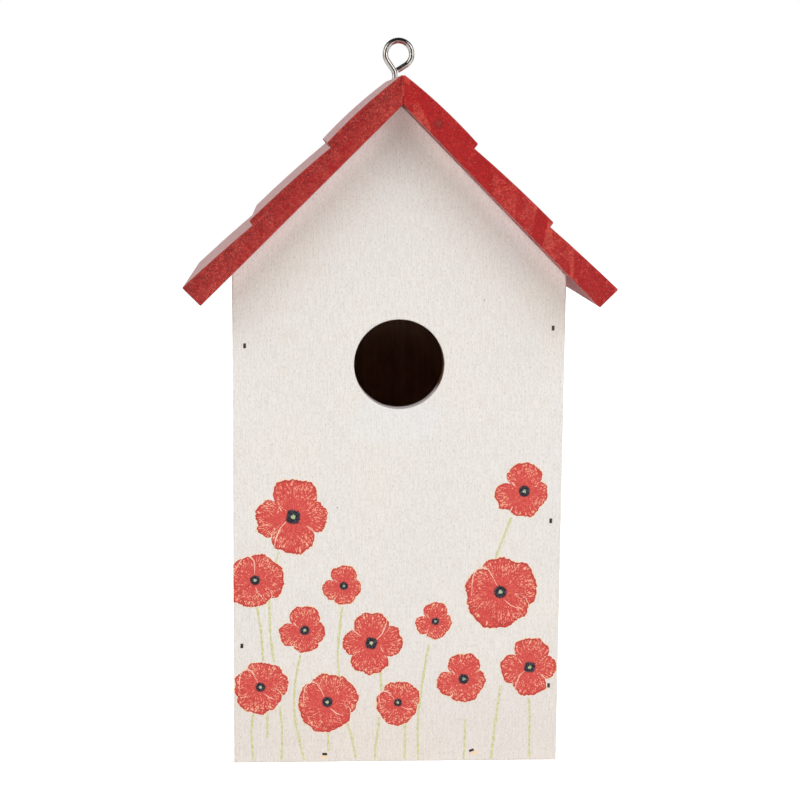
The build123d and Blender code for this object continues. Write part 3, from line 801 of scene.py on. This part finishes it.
def makeStemTree(values):
    tree, given, result = newTree("stemStrokes", {
        **{label: ("NodeSocketFloat", values[label]) for label in ("Width", "Waver", "Thickness")},
        "Wall": ("NodeSocketFloat", frontY), "Seed": ("NodeSocketInt", values["Seed"]),
        "Material": ("NodeSocketMaterial", None)})
    curve = addNode(tree, "GeometryNodeMeshToCurve", {"Mesh": given["Geometry"]}).outputs[0]
    smoothed = addNode(tree, "GeometryNodeCurveSplineType", {"Curve": curve}, spline_type="CATMULL_ROM")
    fine = addNode(tree, "GeometryNodeResampleCurve", {"Curve": smoothed.outputs[0],
                                                       "Length": values["step"] * mm}, mode="LENGTH")
    place = addNode(tree, "GeometryNodeInputPosition").outputs[0]
    shift = join(tree, given["Seed"], 0.0, given["Seed"])
    seeded = addNode(tree, "ShaderNodeVectorMath", {0: place, 1: shift}, operation="ADD").outputs[0]
    wander = noise(tree, seeded, values["waverScale"], 2.0)
    push = calc(tree, "MULTIPLY", calc(tree, "SUBTRACT", wander, 0.5), given["Waver"])
    push = calc(tree, "MULTIPLY", push, 2 * mm)
    bent = addNode(tree, "GeometryNodeSetPosition", {"Geometry": fine.outputs[0],
                                                     "Offset": join(tree, push, 0.0, 0.0)}).outputs[0]
    swell = noise(tree, seeded, values["swellScale"], 3.0)
    radius = calc(tree, "MULTIPLY", calc(tree, "MULTIPLY", given["Width"], mm / 2),
                  fade(tree, swell, 0.3, 0.7, 0.6, 1.25))
    thick = addNode(tree, "GeometryNodeSetCurveRadius", {"Curve": bent, "Radius": radius}).outputs[0]
    profile = addNode(tree, "GeometryNodeCurvePrimitiveCircle", {"Resolution": 8, "Radius": 1.0},
                      mode="RADIUS").outputs[0]
    reach = addNode(tree, "GeometryNodeInputRadius").outputs[0]
    tube = addNode(tree, "GeometryNodeCurveToMesh", {"Curve": thick, "Profile Curve": profile, "Scale": reach,
                                                     "Fill Caps": True}).outputs[0]
    x, y, z = split(tree, addNode(tree, "GeometryNodeInputPosition").outputs[0])[:3]
    wall = calc(tree, "MULTIPLY", given["Wall"], mm)      # the tube is pressed flat on the wall
    lens = calc(tree, "DIVIDE", calc(tree, "MULTIPLY", given["Thickness"], 2.0), given["Width"])
    flat = calc(tree, "ADD", wall, calc(tree, "MULTIPLY", calc(tree, "SUBTRACT", y, wall), lens))
    pressed = addNode(tree, "GeometryNodeSetPosition", {"Geometry": tube,
                                                        "Position": join(tree, x, flat, z)}).outputs[0]
    real = addNode(tree, "GeometryNodeRealizeInstances", {0: pressed}).outputs[0]
    coloured = addNode(tree, "GeometryNodeSetMaterial", {"Geometry": real, "Material": given["Material"]})
    feed(tree, result["Geometry"], coloured.outputs[0])
    return tree


material, tree, shader = newMaterial("stemGreen", **{"Specular IOR Level": 0.3})
blot = noise(tree, objectPlace(tree, (1.2, 1.2, 0.7)), 1.0, 3, 0.7)
stemColour = mixColour(tree, fade(tree, blot, 0.40, 0.62), stems["green"], stems["spot"])
gaps = noise(tree, objectPlace(tree), 1.9, 2)
stemColour = mixColour(tree, fade(tree, gaps, 0.52, 0.68), stemColour, stems["faint"])
feed(tree, shader.inputs["Base Color"], stemColour)
feed(tree, shader.inputs["Roughness"], fade(tree, blot, 0.3, 0.7, 0.5, 0.65))
addBump(tree, shader, blot, 0.02, 0.5)

pathMesh = bpy.data.meshes.new("stemPaths")
corners, runs = [], []
for path in stems["paths"]:
    start = len(corners)
    corners += [(x * mm, frontY * mm, z * mm) for x, z in path]
    runs += [(k, k + 1) for k in range(start, len(corners) - 1)]
pathMesh.from_pydata(corners, runs, [])
pathObject = bpy.data.objects.new("stemPaths", pathMesh)
scene.collection.objects.link(pathObject)
stemPrint = growMesh(pathObject, makeStemTree(stems), dict(stems, Wall=frontY, Material=material), "poppy_stems")
bpy.data.objects.remove(pathObject)
print("stems drawn:", len(stems["paths"]))


for piece in [*poppyObjects, *flecks, stemPrint]:
    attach(piece, "root")


# studio: a pale floor, two low and two high soft boxes in front, one behind, and a pale surround

studio = {
    "floorSize": 6.0,
    "floorGlow": 0.95,
    "lights": {   # place in metres, size, power in watts
        "leftBox": ((-1.25, -1.15, 0.75), (0.9, 1.3), 7.9),
        "rightBox": ((1.25, -1.15, 0.75), (0.9, 1.3), 9.0),
        "highLeft": ((-1.0, -0.6, 1.35), (0.9, 0.9), 13.8),
        "highRight": ((1.0, -0.6, 1.35), (0.9, 0.9), 14.7),
        "backBox": ((0.3, 1.7, 0.9), (1.4, 1.0), 5.0),
    },
    "aim": (0.0, 0.0, 0.12),
    "behind": 0.95, "front": 0.045, "above": 0.10,
}
floorMesh = bpy.data.meshes.new("studioFloor")
half = studio["floorSize"] / 2
floorMesh.from_pydata([(-half, -half, 0), (half, -half, 0), (half, half, 0), (-half, half, 0)], [],
                      [(0, 1, 2, 3)])
floor = bpy.data.objects.new("studioFloor", floorMesh)
scene.collection.objects.link(floor)
material, tree, shader = newMaterial("paleFloor", Roughness=0.9)
shader.inputs["Base Color"].default_value = (0.86, 0.86, 0.86, 1)
seen = addNode(tree, "ShaderNodeLightPath").outputs["Is Camera Ray"]
glow = calc(tree, "MULTIPLY", seen, studio["floorGlow"])
shader.inputs["Emission Color"].default_value = (1, 1, 1, 1)
feed(tree, shader.inputs["Emission Strength"], glow)
floorMesh.materials.append(material)

for name, (place, size, power) in studio["lights"].items():
    lamp = bpy.data.lights.new(name, "AREA")
    lamp.shape, lamp.size, lamp.size_y, lamp.energy = "RECTANGLE", *size, power
    obj = bpy.data.objects.new(name, lamp)
    obj.location = place
    obj.visible_glossy = name in ("leftBox", "rightBox")    # bright metal shows these two only
    obj.rotation_euler = (Vector(studio["aim"]) - Vector(place)).to_track_quat("-Z", "Y").to_euler()
    scene.collection.objects.link(obj)

world = bpy.data.worlds.new("studio")
scene.world = world
world.use_nodes = True
tree = world.node_tree
tree.nodes.clear()
direction = addNode(tree, "ShaderNodeTexCoord").outputs["Generated"]
dy, dz = split(tree, direction)[1:3]
ambient = fade(tree, dy, -0.1, 0.1, studio["front"], studio["behind"])
ambient = calc(tree, "MULTIPLY", ambient, fade(tree, dz, 0.24, 0.55, 1.0, studio["above"]))
seen = addNode(tree, "ShaderNodeLightPath").outputs["Is Camera Ray"]
strength = calc(tree, "MAXIMUM", ambient, seen)
surround = addNode(tree, "ShaderNodeBackground", {"Color": (1, 1, 1, 1), "Strength": strength})
addNode(tree, "ShaderNodeOutputWorld", {"Surface": surround.outputs[0]})
scene.view_settings.view_transform = "Standard"
print("studio lit")


cameraSetup = {   # metres and radians
    "place": (-0.03907, -0.75669, 0.24636), "toRight": 0.0558, "down": 0.1469, "roll": 0.0090, "lens": 85.49,
}
yaw, pitch, roll = cameraSetup["toRight"], cameraSetup["down"], cameraSetup["roll"]
ahead = Vector((math.sin(yaw) * math.cos(pitch), math.cos(yaw) * math.cos(pitch), -math.sin(pitch)))
right = Vector((math.cos(yaw), -math.sin(yaw), 0))
up = right.cross(ahead)
rightRolled = right * math.cos(roll) + up * math.sin(roll)
upRolled = up * math.cos(roll) - right * math.sin(roll)
cameraData = bpy.data.cameras.new("camera")
cameraData.lens, cameraData.sensor_width = cameraSetup["lens"], 36.0
cameraData.clip_start, cameraData.clip_end = 0.01, 50.0
camera = bpy.data.objects.new("camera", cameraData)
turned = Matrix((rightRolled, upRolled, -ahead)).transposed().to_4x4()
camera.matrix_world = Matrix.Translation(cameraSetup["place"]) @ turned
scene.collection.objects.link(camera)
scene.camera = camera

bpy.context.view_layer.update()
